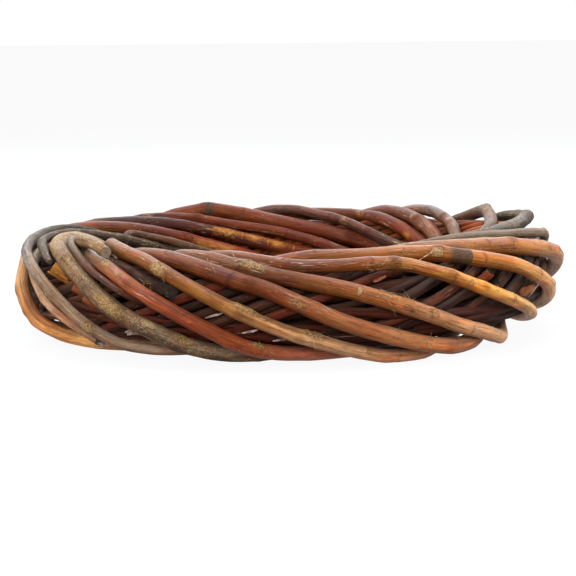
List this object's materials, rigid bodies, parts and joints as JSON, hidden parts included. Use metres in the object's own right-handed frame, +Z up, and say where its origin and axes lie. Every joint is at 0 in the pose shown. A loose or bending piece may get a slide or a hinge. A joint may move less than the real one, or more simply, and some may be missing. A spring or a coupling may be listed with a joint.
{
  "type": "willow wreath",
  "caption": "Round wreath of whole willow rods in their bark, wound spirally over a hoop of thinner withies, with an open middle.",
  "frame": {"origin": "on the surface that the wreath lies on, under the middle of its outline", "axes": "+Z up along the ring's axis, -Y towards the side seen in the picture, +X to its right"},
  "size_m": [0.2998, 0.3004, 0.0641],
  "materials": {
    "bark_tan": "smooth bark, semi-gloss",
    "bark_orange": "smooth bark, semi-gloss",
    "bark_russet": "smooth bark, semi-gloss",
    "bark_olive": "weathered bark with lichen, matt",
    "bark_grey": "weathered bark, satin",
    "bark_amber": "smooth bark, semi-gloss",
    "bark_banded": "smooth bark, semi-gloss",
    "bark_brown": "smooth bark, semi-gloss",
    "bark_pink": "smooth bark, semi-gloss",
    "bark_rough": "rough flaking bark, matt",
    "bark_withy": "dull bark, satin"
  },
  "bodies": {
    "root": {"rod_tan": "bark_tan", "rod_orange": "bark_orange", "rod_russet": "bark_russet", "rod_olive": "bark_olive", "rod_grey": "bark_grey", "rod_honey": "bark_amber", "rod_banded": "bark_banded", "rod_brown": "bark_brown", "rod_amber": "bark_amber", "rod_pink": "bark_pink", "rod_snapped": "bark_grey", "rod_rough": "bark_rough", "hoop_withy_1": "bark_withy", "hoop_withy_2": "bark_withy", "hoop_withy_3": "bark_withy", "hoop_withy_4": "bark_withy", "hoop_withy_5": "bark_withy", "hoop_withy_6": "bark_withy", "hoop_withy_7": "bark_withy", "hoop_withy_8": "bark_withy", "hoop_withy_9": "bark_withy", "hoop_withy_10": "bark_withy", "hoop_withy_11": "bark_withy", "hoop_withy_12": "bark_withy", "heart_rod_1": "bark_withy", "heart_rod_2": "bark_withy", "heart_rod_3": "bark_withy", "heart_rod_4": "bark_withy"}
  },
  "joints": []
}
